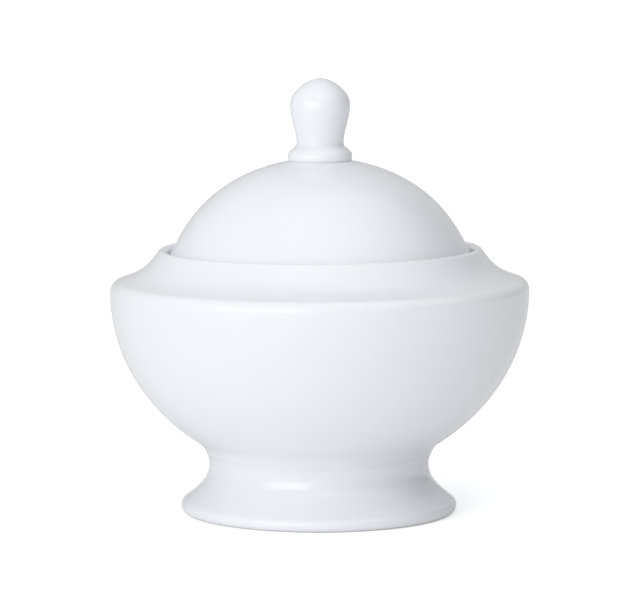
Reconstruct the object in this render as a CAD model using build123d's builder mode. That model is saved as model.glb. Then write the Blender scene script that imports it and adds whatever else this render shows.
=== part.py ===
from build123d import *

from math import cos, radians, sin
import os

# Lidded sugar bowl on a pedestal foot, glazed white porcelain.
# Millimetres, +Z up. The origin is the centre of the standing ring, on the table.
#
# The bowl and its foot are cast apart and luted together with slip, and so are the lid and its
# knob. The lid rests on a ledge just inside the rim and lifts off. Every piece is turned, so each
# one is a half section in the XZ plane (X is the radius) revolved about Z.

# Foot
foot_height = 17.4
foot_radius = 39.7
foot_edge_rounding = 2.0
foot_edge_slope = 52.0
waist_radius = 31.65
waist_height = 14.0
flare_pulls = (0.35, 0.39)
foot_wall = 3.6
hollow_slope = 58.0
hollow_pulls = (0.45, 0.30)
standing_ring_width = 3.4
standing_ring_rounding = 0.8
joint_radius = 32.5
joint_slope = 65.6
seam_rounding = 0.35

# Body of the bowl, with heights taken from the luting joint
body_radius = 60.2
body_height = 46.9
bowl_wall = 3.8
tuck_radius = 36.8
tuck_height = 4.3
tuck_slope = 34.2
belly_pulls = (0.34, 0.37)
shoulder_height = 11.9
shoulder_rounding = 3.1
shoulder_slope = 16.6
floor_sag = 2.6
floor_thickness = 4.2
floor_pulls = (0.24, 0.40)

# Rim and the ledge inside it that carries the lid
rim_inner_radius = 44.0
rim_rounding = 1.4
rim_slope = 56.0
cove_pulls = (0.40, 0.40)
ledge_depth = 3.4
ledge_width = 5.2
ledge_thickness = 4.0
ledge_corner_rounding = 0.6
ledge_lip_rounding = 1.0
ceiling_pulls = (0.50, 0.30)

# Lid
lid_gap = 0.6
flange_gap = 0.7
flange_depth = 6.5
flange_wall = 3.3
flange_corner_rounding = 0.5
flange_foot_rounding = 1.3
lid_rise = 28.7
lid_wall = 3.4
lid_edge_rounding = 0.8
crown_radius = 8.4
crown_slope = 10.3
lid_edge_slope = 67.3
dome_pulls = (0.387, 0.386)
dome_inside_pulls = (0.40, 0.40)

# Knob, with heights taken from the crown of the lid
knob_height = 23.55
knob_radius = 8.62
knob_widest_height = 16.0
grip_pulls = (0.37, 0.40)
tip_pulls = (0.33, 0.30)
neck_radius = 6.76
neck_height = 4.9
collar_radius = 9.25
collar_widest_height = 1.25
collar_undercut = 65.0
collar_top_radius = 8.2
collar_top_height = 3.15
collar_top_slope = 45.0
bead_pulls = (0.45, 0.40)

# Where things meet
joint_inner_radius = waist_radius - foot_wall
widest_height = foot_height + body_height
rim_height = widest_height + shoulder_height
ledge_top = rim_height - ledge_depth
mouth_radius = rim_inner_radius - ledge_width
lid_edge_radius = rim_inner_radius - lid_gap
flange_radius = mouth_radius - flange_gap
crown_height = ledge_top + lid_rise


def along(point, angle, distance):
    """The point a distance away from another, in the direction of an angle in degrees."""
    return Vector(point) + Vector(cos(radians(angle)), sin(radians(angle))) * distance


def blend(start, start_angle, end, end_angle, pulls=(0.35, 0.35)):
    """A smooth curve that leaves and arrives at the given angles, in degrees.

    The pulls are how far the curve keeps to the direction of its start and of its end, as a
    share of the distance between them. Equal pulls of 0.35 are close to a circular arc.
    """
    distance = (Vector(end) - Vector(start)).length
    start_handle = along(start, start_angle, pulls[0] * distance)
    end_handle = along(end, end_angle + 180, pulls[1] * distance)
    return Bezier(start, start_handle, end_handle, end)


def corner(sketch, point):
    """The corner of a section nearest to a point."""
    return sketch.vertices().sort_by_distance(Vector(point))[0]


# Bowl: deep rounded body, concave shoulder, rounded rim and lid ledge
with BuildPart() as bowl:
    with BuildSketch(Plane.XZ) as bowl_section:
        with BuildLine():
            # Underside, sagging inside the foot, and the flat face the foot is luted to
            underside_edge = (joint_inner_radius - seam_rounding, foot_height)
            underside = TangentArc((0, foot_height - floor_sag), underside_edge, tangent=(1, 0))
            luting_face = Line(underside_edge, (joint_radius, foot_height))

            # Outside, from the joint up to the rim
            tuck = (tuck_radius, foot_height + tuck_height)
            undercut = blend(luting_face @ 1, joint_slope, tuck, tuck_slope)
            belly = blend(tuck, tuck_slope, (body_radius, widest_height), 90, belly_pulls)
            shoulder_centre = (body_radius - shoulder_rounding, widest_height)
            shoulder_edge = CenterArc(shoulder_centre, shoulder_rounding, 0, 90 - shoulder_slope)
            rim_centre = (rim_inner_radius + rim_rounding, rim_height - rim_rounding)
            rim_start = along(rim_centre, 90 - rim_slope, rim_rounding)
            cove = blend(shoulder_edge @ 1, 180 - shoulder_slope, rim_start, 180 - rim_slope, cove_pulls)
            rim = CenterArc(rim_centre, rim_rounding, 90 - rim_slope, 90 + rim_slope)

            # Seat for the lid
            gallery_wall = Line(rim @ 1, (rim_inner_radius, ledge_top))
            ledge = Line(gallery_wall @ 1, (mouth_radius, ledge_top))
            mouth = Line(ledge @ 1, (mouth_radius, ledge_top - ledge_thickness))

            # Inside, from the mouth down to the middle of the floor
            under_shoulder = along(shoulder_edge @ 1, -90 - shoulder_slope, bowl_wall)
            shoulder_inside = along(under_shoulder, 180 - shoulder_slope, shoulder_rounding)
            wall_top = (body_radius - bowl_wall, widest_height - bowl_wall)
            inner_tuck = along(tuck, tuck_slope + 90, bowl_wall)
            floor_middle = (0, foot_height - floor_sag + floor_thickness)
            ceiling = blend(mouth @ 1, 0, shoulder_inside, -shoulder_slope, ceiling_pulls)
            inner_corner = blend(shoulder_inside, -shoulder_slope, wall_top, -90)
            inner_belly = blend(wall_top, -90, inner_tuck, tuck_slope + 180, belly_pulls[::-1])
            floor = blend(inner_tuck, tuck_slope + 180, floor_middle, 180, floor_pulls)
            bowl_axis = Line(floor_middle, underside @ 0)
        make_face()
        fillet(corner(bowl_section, luting_face @ 1), seam_rounding)
        fillet(corner(bowl_section, ledge @ 0), ledge_corner_rounding)
        fillet(corner(bowl_section, ledge @ 1), ledge_lip_rounding)
        fillet(corner(bowl_section, mouth @ 1), ledge_lip_rounding)
    revolve(axis=Axis.Z)
bowl.part.label = "bowl"

# Pedestal foot: hollow flared ring, open below, standing on a narrow unglazed ring
with BuildPart() as pedestal_foot:
    with BuildSketch(Plane.XZ) as foot_section:
        with BuildLine():
            edge_centre = (foot_radius - foot_edge_rounding, foot_edge_rounding)
            foot_edge = CenterArc(edge_centre, foot_edge_rounding, -90, 90 + foot_edge_slope)
            waist = (waist_radius, waist_height)
            flare = blend(foot_edge @ 1, foot_edge_slope + 90, waist, 90, flare_pulls)
            upper_waist = blend(waist, 90, (joint_radius, foot_height), joint_slope)
            luting_top = Line(upper_waist @ 1, (joint_inner_radius, foot_height))
            hollow_top = Line(luting_top @ 1, (joint_inner_radius, waist_height))
            ring_inner_edge = (foot_radius - foot_edge_rounding - standing_ring_width, 0)
            hollow = blend(hollow_top @ 1, -90, ring_inner_edge, -hollow_slope, hollow_pulls)
            standing_ring = Line(ring_inner_edge, foot_edge @ 0)
        make_face()
        fillet(corner(foot_section, luting_top @ 0), seam_rounding)
        fillet(corner(foot_section, ring_inner_edge), standing_ring_rounding)
    revolve(axis=Axis.Z)
pedestal_foot.part.label = "pedestal_foot"

# Lid: dome, flat seat that rests on the ledge, and a flange that keeps it central in the mouth
with BuildPart() as lid:
    with BuildSketch(Plane.XZ) as lid_section:
        with BuildLine():
            crown = Line((0, crown_height), (crown_radius, crown_height))
            rounding_centre = (lid_edge_radius - lid_edge_rounding, ledge_top + lid_edge_rounding)
            dome_end = along(rounding_centre, 90 - lid_edge_slope, lid_edge_rounding)
            dome = blend(crown @ 1, -crown_slope, dome_end, -lid_edge_slope, dome_pulls)
            edge_turn = lid_edge_slope - 180
            lid_edge = CenterArc(rounding_centre, lid_edge_rounding, 90 - lid_edge_slope, edge_turn)
            seat = Line(lid_edge @ 1, (flange_radius, ledge_top))
            flange_outside = Line(seat @ 1, (flange_radius, ledge_top - flange_depth))
            flange_inner_radius = flange_radius - flange_wall
            flange_foot = Line(flange_outside @ 1, (flange_inner_radius, ledge_top - flange_depth))
            flange_inside = Line(flange_foot @ 1, (flange_inner_radius, ledge_top))
            crown_inside = (0, crown_height - lid_wall)
            dome_inside = blend(flange_inside @ 1, 90, crown_inside, 180, dome_inside_pulls)
            lid_axis = Line(crown_inside, crown @ 0)
        make_face()
        fillet(corner(lid_section, seat @ 1), flange_corner_rounding)
        fillet(corner(lid_section, flange_foot @ 0), flange_foot_rounding)
        fillet(corner(lid_section, flange_foot @ 1), flange_foot_rounding)
    revolve(axis=Axis.Z)
lid.part.label = "lid"

# Knob: collar bead on the crown, narrow neck, and a pear-shaped grip with a softly pointed top
with BuildPart() as knob:
    with BuildSketch(Plane.XZ):
        with BuildLine():
            knob_base = Line((0, crown_height), (crown_radius, crown_height))
            collar_side = (collar_radius, crown_height + collar_widest_height)
            bead = blend(knob_base @ 1, 90 - collar_undercut, collar_side, 90, bead_pulls)
            collar_top = (collar_top_radius, crown_height + collar_top_height)
            collar_shoulder = blend(collar_side, 90, collar_top, collar_top_slope + 90, bead_pulls)
            neck = (neck_radius, crown_height + neck_height)
            neck_hollow = blend(collar_top, collar_top_slope + 90, neck, 90, bead_pulls[::-1])
            grip_side = (knob_radius, crown_height + knob_widest_height)
            grip = blend(neck, 90, grip_side, 90, grip_pulls)
            tip = blend(grip_side, 90, (0, crown_height + knob_height), 180, tip_pulls)
            knob_axis = Line(tip @ 1, knob_base @ 0)
        make_face()
    revolve(axis=Axis.Z)
knob.part.label = "knob"

os.makedirs("parts", exist_ok=True)
export_step(bowl.part, "parts/bowl.step")
export_step(pedestal_foot.part, "parts/pedestal_foot.step")
export_step(lid.part, "parts/lid.step")
export_step(knob.part, "parts/knob.step")
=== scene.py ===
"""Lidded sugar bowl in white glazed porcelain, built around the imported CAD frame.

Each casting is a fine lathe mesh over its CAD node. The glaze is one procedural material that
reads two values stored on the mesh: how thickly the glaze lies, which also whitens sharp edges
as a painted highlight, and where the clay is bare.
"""

from math import acos, asin, atan2, ceil, cos, degrees, pi, radians, sin, tan

import bpy
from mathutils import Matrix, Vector, noise


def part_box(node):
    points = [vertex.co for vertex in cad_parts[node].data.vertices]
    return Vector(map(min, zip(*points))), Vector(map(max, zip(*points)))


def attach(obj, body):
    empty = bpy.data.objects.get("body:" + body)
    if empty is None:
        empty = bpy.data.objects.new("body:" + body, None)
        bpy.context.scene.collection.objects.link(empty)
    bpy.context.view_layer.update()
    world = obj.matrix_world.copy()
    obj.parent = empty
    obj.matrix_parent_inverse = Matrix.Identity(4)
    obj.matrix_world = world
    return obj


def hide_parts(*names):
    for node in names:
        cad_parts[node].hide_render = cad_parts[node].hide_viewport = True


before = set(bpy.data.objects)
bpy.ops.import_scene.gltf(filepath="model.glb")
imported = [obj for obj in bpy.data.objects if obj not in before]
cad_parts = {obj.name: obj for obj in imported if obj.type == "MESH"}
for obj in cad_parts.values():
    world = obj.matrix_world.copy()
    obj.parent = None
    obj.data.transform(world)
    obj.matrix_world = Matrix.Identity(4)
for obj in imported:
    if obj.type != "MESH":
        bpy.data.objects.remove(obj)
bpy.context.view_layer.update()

MM = 0.001

# ---- Sizes that the CAD boxes give ----
bowl_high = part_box("bowl")[1]
foot_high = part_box("pedestal_foot")[1]
lid_low, lid_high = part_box("lid")
knob_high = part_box("knob")[1]

BODY_RADIUS = bowl_high[0]
RIM_HEIGHT = bowl_high[2]
FOOT_RADIUS = foot_high[0]
FOOT_HEIGHT = foot_high[2]
LID_EDGE_RADIUS = lid_high[0]
FLANGE_BOTTOM = lid_low[2]
CROWN_HEIGHT = lid_high[2]
COLLAR_RADIUS = knob_high[0]
APEX_HEIGHT = knob_high[2]

# ---- Sizes inside those boxes ----
FOOT_EDGE_ROUNDING = 2.0 * MM
FOOT_EDGE_SLOPE = 52.0
FLARE_PULLS = (0.35, 0.39)
FOOT_WALL = 3.6 * MM
HOLLOW_SLOPE = 58.0
HOLLOW_PULLS = (0.45, 0.30)
STANDING_RING_WIDTH = 3.4 * MM
STANDING_RING_ROUNDING = 0.8 * MM
WAIST_RADIUS = 31.65 * MM
WAIST_HEIGHT = 14.0 * MM
JOINT_RADIUS = 32.5 * MM
JOINT_SLOPE = 65.6
SEAM_ROUNDING = 0.35 * MM
SEAM_BEAD_ROUNDING = 1.20 * MM  # slip and glaze that fill the luting seam and stand a little proud
SEAM_BEAD_SINK = 1.13 * MM
TUCK_RADIUS = 36.8 * MM
TUCK_HEIGHT = FOOT_HEIGHT + 4.3 * MM
TUCK_SLOPE = 34.2
BELLY_PULLS = (0.34, 0.37)
WIDEST_HEIGHT = RIM_HEIGHT - 11.9 * MM
SHOULDER_ROUNDING = 3.1 * MM
SHOULDER_SLOPE = 16.6
BOWL_WALL = 3.8 * MM
FLOOR_SAG = 2.6 * MM
FLOOR_THICKNESS = 4.2 * MM
FLOOR_PULLS = (0.24, 0.40)
RIM_ROUNDING = 1.4 * MM
RIM_SLOPE = 56.0
COVE_PULLS = (0.40, 0.40)
LID_GAP = 0.6 * MM
LEDGE_HEIGHT = RIM_HEIGHT - 3.4 * MM
LEDGE_WIDTH = 5.2 * MM
LEDGE_THICKNESS = 4.0 * MM
LEDGE_CORNER_ROUNDING = 0.6 * MM
LEDGE_LIP_ROUNDING = 1.0 * MM
CEILING_PULLS = (0.50, 0.30)
FLANGE_GAP = 0.7 * MM
FLANGE_WALL = 3.3 * MM
FLANGE_CORNER_ROUNDING = 0.5 * MM
FLANGE_FOOT_ROUNDING = 1.3 * MM
LID_WALL = 3.4 * MM
LID_EDGE_ROUNDING = 0.8 * MM
LID_EDGE_SLOPE = 67.3
DOME_PULLS = (0.387, 0.386)
DOME_INSIDE_PULLS = (0.40, 0.40)
CROWN_RADIUS = 8.4 * MM
CROWN_SLOPE = 10.3
KNOB_RADIUS = 8.62 * MM
KNOB_WIDEST_HEIGHT = CROWN_HEIGHT + 16.0 * MM
GRIP_PULLS = (0.37, 0.40)
TIP_PULLS = (0.33, 0.30)
NECK_RADIUS = 6.76 * MM
NECK_HEIGHT = CROWN_HEIGHT + 4.9 * MM
COLLAR_WIDEST_HEIGHT = CROWN_HEIGHT + 1.25 * MM
COLLAR_TOP_RADIUS = 8.2 * MM
COLLAR_TOP_HEIGHT = CROWN_HEIGHT + 3.15 * MM
COLLAR_TOP_SLOPE = 45.0
BEAD_PULLS = (0.45, 0.40)
SLIP_DEPTH = 0.30 * MM  # how far slip and glaze fill the undercut below the collar

RIM_INNER_RADIUS = LID_EDGE_RADIUS + LID_GAP
MOUTH_RADIUS = RIM_INNER_RADIUS - LEDGE_WIDTH
FLANGE_RADIUS = MOUTH_RADIUS - FLANGE_GAP
JOINT_INNER_RADIUS = WAIST_RADIUS - FOOT_WALL

# ---- Mesh density ----
SEGMENTS = 192
LONGEST_STEP = 1.3 * MM
SHARPEST_STEP = 9.0  # degrees
SAME_POINT = 0.01 * MM
ON_AXIS = 0.001 * MM

# ---- What firing does to the shape: every piece follows the same gentle warp ----
RIM_LIFT = 0.40 * MM
RIM_DRIFT = 0.35 * MM
OUT_OF_ROUND = 0.08 * MM
RIPPLE_DEPTH = 0.03 * MM
RIPPLE_WIDTH = 14.0 * MM
STILL_RADIUS = 4.0 * MM  # the ripple fades out towards the axis, inside this radius


# ==== Profiles: lists of (radius, height) points, from the axis or around a ring ====

def along(point, angle, distance):
    """The point a distance away from another, in the direction of an angle in degrees."""
    return Vector(point) + Vector((cos(radians(angle)), sin(radians(angle)))) * distance


def steps(length, turn):
    """How many straight steps a curve of this length and turn (in degrees) needs."""
    return max(2, ceil(length / LONGEST_STEP), ceil(abs(turn) / SHARPEST_STEP))


def line(start, end):
    """Evenly spaced points from start to end."""
    start, end = Vector(start), Vector(end)
    count = steps((end - start).length, 0)
    return [start.lerp(end, i / count) for i in range(count + 1)]


def arc(centre, radius, start_angle, turn):
    """Points on a circle's arc, angles in degrees."""
    count = steps(abs(radians(turn)) * radius, turn)
    return [along(centre, start_angle + turn * i / count, radius) for i in range(count + 1)]


def blend(start, start_angle, end, end_angle, pulls=(0.35, 0.35)):
    """Points on a smooth curve that leaves and arrives at the given angles, in degrees.

    The pulls are how far the curve keeps to the direction of its start and of its end, as a
    share of the distance between them.
    """
    start, end = Vector(start), Vector(end)
    distance = (end - start).length
    first = along(start, start_angle, pulls[0] * distance)
    last = along(end, end_angle + 180, pulls[1] * distance)
    count = steps(distance * 1.1, (end_angle - start_angle + 180) % 360 - 180)
    points = []
    for i in range(count + 1):
        t = i / count
        s = 1 - t
        points.append(start * s**3 + first * 3 * s * s * t + last * 3 * s * t * t + end * t**3)
    return points


def rounded(before, point, after, radius):
    """Points on the arc that rounds the corner between two straight sides."""
    point = Vector(point)
    back = (Vector(before) - point).normalized()
    ahead = (Vector(after) - point).normalized()
    half = acos(max(-1.0, min(1.0, back.dot(ahead)))) / 2
    centre = point + (back + ahead).normalized() * (radius / sin(half))
    first = point + back * (radius / tan(half)) - centre
    turn = degrees(first.angle_signed(point + ahead * (radius / tan(half)) - centre))
    start_angle = degrees(Vector((1, 0)).angle_signed(first))
    return arc(centre, radius, -start_angle, -turn)


def joined(*runs):
    """One path from several runs of points, without the doubled points where they meet."""
    path = []
    for run in runs:
        for point in run:
            if not path or (point - path[-1]).length > SAME_POINT:
                path.append(point)
    return path


def seam_bead():
    """The bead along the luting seam: its part on the foot and its part on the bowl."""
    centre = along((JOINT_RADIUS, FOOT_HEIGHT), JOINT_SLOPE + 90, SEAM_BEAD_SINK)
    half = degrees(acos(SEAM_BEAD_SINK / SEAM_BEAD_ROUNDING))
    bottom = JOINT_SLOPE - 90 - half
    middle = degrees(asin((FOOT_HEIGHT - centre.y) / SEAM_BEAD_ROUNDING))
    top = JOINT_SLOPE - 90 + half
    on_foot = arc(centre, SEAM_BEAD_ROUNDING, bottom, middle - bottom)
    on_bowl = arc(centre, SEAM_BEAD_ROUNDING, middle, top - middle)
    return on_foot, on_bowl


def bowl_profile():
    """From the underside at the axis, up the outside, over the rim and down to the floor."""
    underside_middle = Vector((0, FOOT_HEIGHT - FLOOR_SAG))
    underside_edge = Vector((JOINT_INNER_RADIUS - SEAM_ROUNDING, FOOT_HEIGHT))
    underside_slope = 2 * degrees(atan2(FLOOR_SAG, underside_edge.x))
    tuck = Vector((TUCK_RADIUS, TUCK_HEIGHT))
    seam = seam_bead()[1]

    shoulder_centre = (BODY_RADIUS - SHOULDER_ROUNDING, WIDEST_HEIGHT)
    shoulder = arc(shoulder_centre, SHOULDER_ROUNDING, 0, 90 - SHOULDER_SLOPE)
    rim_centre = (RIM_INNER_RADIUS + RIM_ROUNDING, RIM_HEIGHT - RIM_ROUNDING)
    rim = arc(rim_centre, RIM_ROUNDING, 90 - RIM_SLOPE, 90 + RIM_SLOPE)
    cove = blend(shoulder[-1], 180 - SHOULDER_SLOPE, rim[0], 180 - RIM_SLOPE, COVE_PULLS)

    ledge_corner = Vector((RIM_INNER_RADIUS, LEDGE_HEIGHT))
    lip_top = Vector((MOUTH_RADIUS, LEDGE_HEIGHT))
    lip_bottom = Vector((MOUTH_RADIUS, LEDGE_HEIGHT - LEDGE_THICKNESS))
    gallery = rounded(rim[-1], ledge_corner, lip_top, LEDGE_CORNER_ROUNDING)
    lip = rounded(ledge_corner, lip_top, lip_bottom, LEDGE_LIP_ROUNDING)
    lip_under = rounded(lip_top, lip_bottom, lip_bottom + Vector((MM, 0)), LEDGE_LIP_ROUNDING)

    under_shoulder = along(shoulder[-1], -90 - SHOULDER_SLOPE, BOWL_WALL)
    shoulder_inside = along(under_shoulder, 180 - SHOULDER_SLOPE, SHOULDER_ROUNDING)
    wall_top = Vector((BODY_RADIUS - BOWL_WALL, WIDEST_HEIGHT - BOWL_WALL))
    inner_tuck = along(tuck, TUCK_SLOPE + 90, BOWL_WALL)
    floor_middle = underside_middle + Vector((0, FLOOR_THICKNESS))
    return joined(
        blend(underside_middle, 0, underside_edge, underside_slope),
        line(underside_edge, seam[0]), seam,
        blend(seam[-1], JOINT_SLOPE, tuck, TUCK_SLOPE),
        blend(tuck, TUCK_SLOPE, (BODY_RADIUS, WIDEST_HEIGHT), 90, BELLY_PULLS),
        shoulder, cove, rim,
        line(rim[-1], gallery[0]), gallery,
        line(gallery[-1], lip[0]), lip,
        line(lip[-1], lip_under[0]), lip_under,
        blend(lip_under[-1], 0, shoulder_inside, -SHOULDER_SLOPE, CEILING_PULLS),
        blend(shoulder_inside, -SHOULDER_SLOPE, wall_top, -90),
        blend(wall_top, -90, inner_tuck, TUCK_SLOPE + 180, BELLY_PULLS[::-1]),
        blend(inner_tuck, TUCK_SLOPE + 180, floor_middle, 180, FLOOR_PULLS),
    )


def foot_profile():
    """Around the section of the hollow foot, from the standing ring's outer edge."""
    edge_centre = (FOOT_RADIUS - FOOT_EDGE_ROUNDING, FOOT_EDGE_ROUNDING)
    edge = arc(edge_centre, FOOT_EDGE_ROUNDING, -90, 90 + FOOT_EDGE_SLOPE)
    waist = Vector((WAIST_RADIUS, WAIST_HEIGHT))
    joint_inner = Vector((JOINT_INNER_RADIUS, FOOT_HEIGHT))
    hollow_top = Vector((JOINT_INNER_RADIUS, WAIST_HEIGHT))
    ring_inner = Vector((FOOT_RADIUS - FOOT_EDGE_ROUNDING - STANDING_RING_WIDTH, 0))
    seam = seam_bead()[0]
    up_the_hollow = along(ring_inner, 180 - HOLLOW_SLOPE, MM)
    ring_edge = rounded(up_the_hollow, ring_inner, edge[0], STANDING_RING_ROUNDING)
    return joined(
        edge,
        blend(edge[-1], FOOT_EDGE_SLOPE + 90, waist, 90, FLARE_PULLS),
        blend(waist, 90, seam[0], JOINT_SLOPE), seam,
        line(seam[-1], joint_inner),
        line(joint_inner, hollow_top),
        blend(hollow_top, -90, ring_edge[0], -HOLLOW_SLOPE, HOLLOW_PULLS), ring_edge,
        line(ring_edge[-1], edge[0]),
    )[:-1]


def lid_profile():
    """From the crown at the axis, down the dome, under the edge and flange, and up inside."""
    crown_edge = Vector((CROWN_RADIUS, CROWN_HEIGHT))
    edge_centre = Vector((LID_EDGE_RADIUS - LID_EDGE_ROUNDING, LEDGE_HEIGHT + LID_EDGE_ROUNDING))
    edge = arc(edge_centre, LID_EDGE_ROUNDING, 90 - LID_EDGE_SLOPE, LID_EDGE_SLOPE - 180)
    seat_end = Vector((FLANGE_RADIUS, LEDGE_HEIGHT))
    flange_outer = Vector((FLANGE_RADIUS, FLANGE_BOTTOM))
    flange_inner = Vector((FLANGE_RADIUS - FLANGE_WALL, FLANGE_BOTTOM))
    flange_root = Vector((FLANGE_RADIUS - FLANGE_WALL, LEDGE_HEIGHT))
    seat_corner = rounded(edge[-1], seat_end, flange_outer, FLANGE_CORNER_ROUNDING)
    outer_rounding = rounded(seat_end, flange_outer, flange_inner, FLANGE_FOOT_ROUNDING)
    inner_rounding = rounded(flange_outer, flange_inner, flange_root, FLANGE_FOOT_ROUNDING)
    return joined(
        line((0, CROWN_HEIGHT), crown_edge),
        blend(crown_edge, -CROWN_SLOPE, edge[0], -LID_EDGE_SLOPE, DOME_PULLS),
        edge,
        line(edge[-1], seat_corner[0]), seat_corner,
        line(seat_corner[-1], outer_rounding[0]), outer_rounding,
        line(outer_rounding[-1], inner_rounding[0]), inner_rounding,
        line(inner_rounding[-1], flange_root),
        blend(flange_root, 90, (0, CROWN_HEIGHT - LID_WALL), 180, DOME_INSIDE_PULLS),
    )


def knob_profile():
    """From the middle of the luted base, round the collar and neck, to the tip."""
    crown_edge = Vector((CROWN_RADIUS, CROWN_HEIGHT))
    slip_edge = Vector((COLLAR_RADIUS - SLIP_DEPTH / 2, CROWN_HEIGHT - SLIP_DEPTH))
    collar_side = Vector((COLLAR_RADIUS, COLLAR_WIDEST_HEIGHT))
    collar_top = Vector((COLLAR_TOP_RADIUS, COLLAR_TOP_HEIGHT))
    neck = Vector((NECK_RADIUS, NECK_HEIGHT))
    grip_side = Vector((KNOB_RADIUS, KNOB_WIDEST_HEIGHT))
    return joined(
        line((0, CROWN_HEIGHT), crown_edge),
        line(crown_edge, slip_edge),
        blend(slip_edge, 90, collar_side, 90),
        blend(collar_side, 90, collar_top, COLLAR_TOP_SLOPE + 90, BEAD_PULLS),
        blend(collar_top, COLLAR_TOP_SLOPE + 90, neck, 90, BEAD_PULLS[::-1]),
        blend(neck, 90, grip_side, 90, GRIP_PULLS),
        blend(grip_side, 90, (0, APEX_HEIGHT), 180, TIP_PULLS),
    )


# ==== Meshes ====

def settled(point):
    """Where a point of the wet casting ends up after firing."""
    x, y, z = point
    height = z / RIM_HEIGHT
    lean = height * height if z < RIM_HEIGHT else 1.0
    ripple = noise.noise(Vector((x, y, z * 2)) / RIPPLE_WIDTH) * RIPPLE_DEPTH
    radius = max(Vector((x, y)).length, 1e-6)
    squeeze = OUT_OF_ROUND * (x * x - y * y) / (radius * radius) * min(1.0, radius / BODY_RADIUS)
    grown = 1 + (squeeze + ripple * min(1.0, radius / STILL_RADIUS)) / radius
    return Vector((x * grown + RIM_DRIFT * lean, y * grown, z + RIM_LIFT * lean * x / BODY_RADIUS))


def bend(profile, i, ring):
    """How sharply the profile turns at a point, in radians per metre: above 0 is hollow."""
    if not ring and (i == 0 or i == len(profile) - 1):
        return 0.0
    before, here, after = profile[i - 1], profile[i], profile[(i + 1) % len(profile)]
    first, second = here - before, after - here
    return first.angle_signed(second) / (0.5 * (first.length + second.length))


POOLING = 2.2 * MM  # a bend of this radius, or a tighter one, counts in full
EVENING_PASSES = 3


def pooling(profile, ring):
    """How thickly the glaze lies: 0 on sharp edges, 0.5 on plain walls, 1 in tight hollows. The thin
    end also drives a painted highlight on sharp edges.
    """
    depth = []
    for i in range(len(profile)):
        curve = bend(profile, i, ring) * POOLING
        depth.append(0.5 + 0.5 * max(-1.0, min(1.0, curve)))
    for _ in range(EVENING_PASSES):
        ends = (depth[0], depth[-1])
        following = depth[1:] + depth[:1]
        previous = depth[-1:] + depth[:-1]
        depth = [(a + 2 * b + c) / 4 for a, b, c in zip(previous, depth, following)]
        if not ring:
            depth[0], depth[-1] = ends
    return depth


def lathe(name, profile, body, is_bare, ring=False):
    """Turns a profile into a finished piece that stands for the CAD node of the same name."""
    depth = pooling(profile, ring)
    verts, faces, glaze, bare, rows = [], [], [], [], []
    for point, thickness in zip(profile, depth):
        on_axis = point.x < ON_AXIS
        count = 1 if on_axis else SEGMENTS
        rows.append(range(len(verts), len(verts) + count))
        for k in range(count):
            angle = 2 * pi * k / SEGMENTS
            verts.append(settled((point.x * cos(angle), point.x * sin(angle), point.y)))
        glaze += [thickness] * count
        bare += [1.0 if is_bare(point) else 0.0] * count
    if ring:
        rows.append(rows[0])
    for lower, upper in zip(rows, rows[1:]):
        for k in range(SEGMENTS):
            after = (k + 1) % SEGMENTS
            if len(lower) == 1:
                faces.append((lower[0], upper[after], upper[k]))
            elif len(upper) == 1:
                faces.append((lower[k], lower[after], upper[0]))
            else:
                faces.append((lower[k], lower[after], upper[after], upper[k]))
    mesh = bpy.data.meshes.new(name)
    mesh.from_pydata(verts, [], faces)
    mesh.attributes.new("glaze", "FLOAT", "POINT").data.foreach_set("value", glaze)
    mesh.attributes.new("bare", "FLOAT", "POINT").data.foreach_set("value", bare)
    mesh.shade_smooth()
    mesh.update()
    piece = bpy.data.objects.new(name + "_fired", mesh)
    bpy.context.scene.collection.objects.link(piece)
    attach(piece, body)
    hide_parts(name)
    return piece


# ==== Material ====

class Nodes:
    """A node tree, with short ways to add and link nodes."""

    def __init__(self, owner):
        owner.use_nodes = True
        self.tree = owner.node_tree

    def shader(self, values):
        """Sets the sockets of a material's shader."""
        for socket, value in values.items():
            self.set(self.tree.nodes["Principled BSDF"].inputs[socket], value)

    def add(self, kind, inputs=(), **settings):
        node = self.tree.nodes.new(kind)
        for key, value in settings.items():
            setattr(node, key, value)
        for socket, value in dict(inputs).items():
            self.set(node.inputs[socket], value)
        return node

    def set(self, socket, value):
        if isinstance(value, bpy.types.NodeSocket):
            self.tree.links.new(value, socket)
        else:
            socket.default_value = value

    def math(self, operation, a, b):
        return self.add("ShaderNodeMath", {0: a, 1: b}, operation=operation).outputs[0]

    def noise(self, size, detail=2.0, roughness=0.5):
        """Noise with features about this large, in metres, from 0 to 1."""
        place = self.add("ShaderNodeTexCoord").outputs["Object"]
        values = {"Vector": place, "Scale": 1 / size, "Detail": detail, "Roughness": roughness}
        return self.add("ShaderNodeTexNoise", values).outputs["Fac"]

    def wander(self, size, amount):
        """Noise that strays to both sides of 0."""
        return self.math("MULTIPLY", self.math("SUBTRACT", self.noise(size, 3), 0.5), amount)

    def ramp(self, value, low, high, to_low=0.0, to_high=1.0):
        """A soft step between two values, as the input goes from low to high."""
        values = {"Value": value, "From Min": low, "From Max": high,
                  "To Min": to_low, "To Max": to_high}
        return self.add("ShaderNodeMapRange", values, interpolation_type="SMOOTHSTEP").outputs["Result"]

    def mix(self, factor, a, b, kind="RGBA"):
        node = self.add("ShaderNodeMix", data_type=kind)
        self.set(node.inputs["Factor"], factor)
        self.set(node.inputs["A"], a)
        self.set(node.inputs["B"], b)
        return node.outputs["Result"]

    def stored(self, attribute):
        """A value stored on the mesh."""
        return self.add("ShaderNodeAttribute", attribute_name=attribute).outputs["Fac"]


# The thin-glaze colour on sharp convex edges is partly the real colour of thin glaze and partly a
# painted highlight, such as the bright line along the foot's seam bead.
THIN_GLAZE_AND_EDGE_HIGHLIGHT = (0.880, 0.900, 0.935, 1)
GLAZE = (0.866, 0.890, 0.932, 1)
THICK_GLAZE = (0.840, 0.868, 0.918, 1)
BARE_CLAY = (0.88, 0.87, 0.845, 1)
DULL_CLAY = (0.78, 0.765, 0.735, 1)
SPECK = (0.30, 0.27, 0.24, 1)

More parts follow.
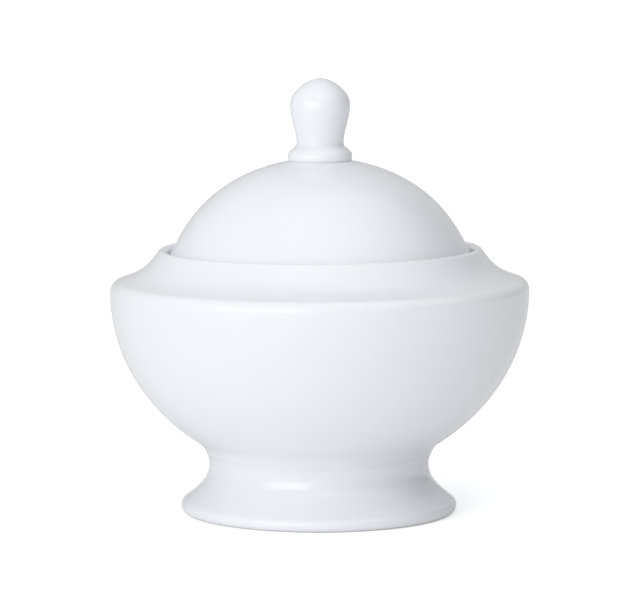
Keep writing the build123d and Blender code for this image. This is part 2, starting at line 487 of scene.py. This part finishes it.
CLOUD_SIZE = 9.0 * MM  # patches of slightly thicker and thinner glaze
CLOUD_DEPTH = 0.12
SPECK_SPACING = 7.0 * MM
SPECK_SIZE = (0.030, 0.015)  # outer and inner radius of a speck, in spacings
RARE = (0.93, 0.94)  # only one cell in about fifteen holds a speck
SPECK_STRENGTH = 0.55
GLOSS_PATCH = 5.0 * MM
GLAZE_ROUGHNESS = (0.010, 0.030)
GLAZE_IOR = 1.52
PEEL_SIZE = 2.6 * MM  # the faint unevenness of a glaze's surface
PEEL_DEPTH = 0.2 * MM
PEEL_STRENGTH = 0.03
EDGE_WANDER_SIZE = 3.0 * MM  # how the edge of the bare clay strays
EDGE_WANDER = 0.5
MOTTLE_SIZE = 0.5 * MM
MOTTLE_STRENGTH = 0.25
CLAY_ROUGHNESS = 0.72
GRAIN_SIZE = 0.12 * MM
GRAIN_DEPTH = 0.05 * MM
GRAIN_STRENGTH = 0.5
BODY_GLOW = 0.12  # how much light passes through the skin of the body
BODY_GLOW_REACH = 1.2 * MM


def glaze_colour(n):
    """Whiter on sharp edges, partly thin glaze and partly a painted highlight; bluer where the glaze
    pools; with rare pinpoint specks.
    """
    thickness = n.math("ADD", n.stored("glaze"), n.wander(CLOUD_SIZE, CLOUD_DEPTH))
    thin_and_highlight_to_plain = n.mix(n.ramp(thickness, 0.05, 0.5), THIN_GLAZE_AND_EDGE_HIGHLIGHT, GLAZE)
    glaze = n.mix(n.ramp(thickness, 0.5, 1.0), thin_and_highlight_to_plain, THICK_GLAZE)
    place = n.add("ShaderNodeTexCoord").outputs["Object"]
    cells = n.add("ShaderNodeTexVoronoi", {"Vector": place, "Scale": 1 / SPECK_SPACING})
    draw = n.add("ShaderNodeSeparateColor", {0: cells.outputs["Color"]}).outputs[0]
    speck = n.math("MULTIPLY", n.ramp(cells.outputs["Distance"], *SPECK_SIZE), n.ramp(draw, *RARE))
    return n.mix(n.math("MULTIPLY", speck, SPECK_STRENGTH), glaze, SPECK)


def porcelain(name):
    """Bluish-white glaze over white clay, with bare clay where pieces rest while firing."""
    material = bpy.data.materials.new(name)
    n = Nodes(material)
    edge = n.wander(EDGE_WANDER_SIZE, EDGE_WANDER)
    bare = n.ramp(n.math("ADD", n.stored("bare"), edge), 0.35, 0.65)
    mottle = n.ramp(n.noise(MOTTLE_SIZE, 4, 0.7), 0.2, 0.8, 0.0, MOTTLE_STRENGTH)
    clay = n.mix(mottle, BARE_CLAY, DULL_CLAY)
    gloss = n.ramp(n.noise(GLOSS_PATCH, 4, 0.6), 0.2, 0.8, *GLAZE_ROUGHNESS)
    peel = n.add("ShaderNodeBump", {
        "Height": n.noise(PEEL_SIZE), "Strength": PEEL_STRENGTH, "Distance": PEEL_DEPTH,
    })
    grain = n.add("ShaderNodeBump", {
        "Height": n.noise(GRAIN_SIZE, 3, 0.7), "Strength": n.math("MULTIPLY", bare, GRAIN_STRENGTH),
        "Distance": GRAIN_DEPTH, "Normal": peel.outputs[0],
    })
    n.shader({
        "Base Color": n.mix(bare, glaze_colour(n), clay),
        "Roughness": n.mix(bare, gloss, CLAY_ROUGHNESS, "FLOAT"),
        "Normal": grain.outputs[0],
        "IOR": GLAZE_IOR,
        "Subsurface Weight": BODY_GLOW,
        "Subsurface Radius": (1.0, 1.0, 1.0),
        "Subsurface Scale": BODY_GLOW_REACH,
    })
    return material


# ==== Where the clay is bare ====

ON_FLAT = 0.10 * MM
ON_SHELF = 0.15 * MM


def on_ledge(point):
    """The flat of the ledge, wiped clean so that the lid doesn't fuse to it."""
    return abs(point.y - LEDGE_HEIGHT) < ON_FLAT and point.x > MOUTH_RADIUS


def on_standing_ring(point):
    """The flat ring that stands on the kiln shelf."""
    return point.y < ON_SHELF


def on_lid_seat(point):
    """The underside of the lid's edge, outside the flange."""
    return abs(point.y - LEDGE_HEIGHT) < ON_FLAT and point.x > FLANGE_RADIUS


def nowhere(_):
    """For a piece that is glazed all over."""
    return False


# ==== The object ====

pieces = {
    "bowl": lathe("bowl", bowl_profile(), "base", on_ledge),
    "pedestal_foot": lathe("pedestal_foot", foot_profile(), "base", on_standing_ring, ring=True),
    "lid": lathe("lid", lid_profile()[::-1], "lid", on_lid_seat),
    "knob": lathe("knob", knob_profile(), "lid", nowhere),
}
for node, piece in pieces.items():
    piece.data.materials.append(porcelain("porcelain_" + node))


# ==== Studio ====

# Azimuth 0 is to the front, and above 0 is to the object's right. A glow's reach is the cosine
# of the angle from its middle at which it starts, and the one at which it is full.
AMBIENT = 0.56
FRONT = dict(azimuth=-21, elevation=0, reach=(0.85, 0.95), brightness=1.08)
OVERHEAD = dict(azimuth=51, elevation=65, reach=(0.60, 0.95), brightness=0.78)
DARK_SIDE = dict(azimuth=87, elevation=8, reach=(0.29, 0.90), brightness=-0.97 * AMBIENT)
KEY_LIGHT = dict(azimuth=-35, elevation=16, distance=1.4, width=1.19, height=0.65, brightness=1.90)
LIT_POINT = Vector((0, 0, RIM_HEIGHT * 0.7))

FLOOR_REACH = 8.0
FLOOR_HEIGHT = -0.02 * MM
FLOOR_COLOUR = (0.97, 0.97, 0.97, 1)
FLOOR_ROUGHNESS = 0.7
FLOOR_BLEACH = 0.38

CAMERA_PLACE = (0.31 * MM, -1.1, 0.1858)
CAMERA_DIP = 6.553
CAMERA_LENS = 216.4
SENSOR_WIDTH = 36.0
FARTHEST_SEEN = 50.0


def towards(azimuth, elevation):
    """A direction, from angles in degrees."""
    turn, rise = radians(azimuth), radians(elevation)
    return Vector((sin(turn) * cos(rise), -cos(turn) * cos(rise), sin(rise)))


def floor():
    """A white table that runs out of sight, bleached where the camera sees it."""
    corners = [(x * FLOOR_REACH, y * FLOOR_REACH, 0) for x, y in ((-1, -1), (1, -1), (1, 1), (-1, 1))]
    mesh = bpy.data.meshes.new("floor")
    mesh.from_pydata(corners, [], [(0, 1, 2, 3)])
    plane = bpy.data.objects.new("floor", mesh)
    bpy.context.scene.collection.objects.link(plane)
    plane.location.z = FLOOR_HEIGHT
    material = bpy.data.materials.new("pale_floor")
    n = Nodes(material)
    seen = n.add("ShaderNodeLightPath").outputs["Is Camera Ray"]
    n.shader({
        "Base Color": FLOOR_COLOUR,
        "Roughness": FLOOR_ROUGHNESS,
        "Emission Color": (1, 1, 1, 1),
        "Emission Strength": n.math("MULTIPLY", seen, FLOOR_BLEACH),
    })
    mesh.materials.append(material)


def softbox(name, azimuth, elevation, distance, width, height, brightness):
    """A rectangular soft light that faces the object, with a face of the given brightness."""
    data = bpy.data.lights.new(name, "AREA")
    data.shape = "RECTANGLE"
    data.size = width
    data.size_y = height
    data.energy = brightness * pi * width * height
    light = bpy.data.objects.new(name, data)
    bpy.context.scene.collection.objects.link(light)
    away = towards(azimuth, elevation)
    light.location = LIT_POINT + away * distance
    light.rotation_euler = away.to_track_quat("Z", "Y").to_euler()
    light.visible_camera = False


def surroundings():
    """A white studio, bright in front and overhead, with a dark side to the object's right."""
    world = bpy.data.worlds.new("studio")
    bpy.context.scene.world = world
    n = Nodes(world)
    place = n.add("ShaderNodeTexCoord").outputs["Generated"]
    strength = AMBIENT
    for glow in (FRONT, OVERHEAD, DARK_SIDE):
        middle = towards(glow["azimuth"], glow["elevation"])
        facing = n.add("ShaderNodeVectorMath", {0: place, 1: middle}, operation="DOT_PRODUCT")
        near = n.ramp(facing.outputs["Value"], *glow["reach"], 0.0, glow["brightness"])
        strength = n.math("ADD", strength, near)
    seen = n.add("ShaderNodeLightPath").outputs["Is Camera Ray"]
    background = n.tree.nodes["Background"]
    n.set(background.inputs["Color"], (1, 1, 1, 1))
    n.set(background.inputs["Strength"], n.math("MAXIMUM", strength, seen))


def camera():
    """A long lens a little above the rim, looking slightly down along +Y."""
    data = bpy.data.cameras.new("camera")
    data.sensor_width = SENSOR_WIDTH
    data.lens = CAMERA_LENS
    data.clip_end = FARTHEST_SEEN
    view = bpy.data.objects.new("camera", data)
    bpy.context.scene.collection.objects.link(view)
    view.location = CAMERA_PLACE
    view.rotation_euler = (radians(90 - CAMERA_DIP), 0, 0)
    bpy.context.scene.camera = view


floor()
surroundings()
softbox("key_light", **KEY_LIGHT)
camera()
bpy.context.scene.view_settings.view_transform = "Standard"
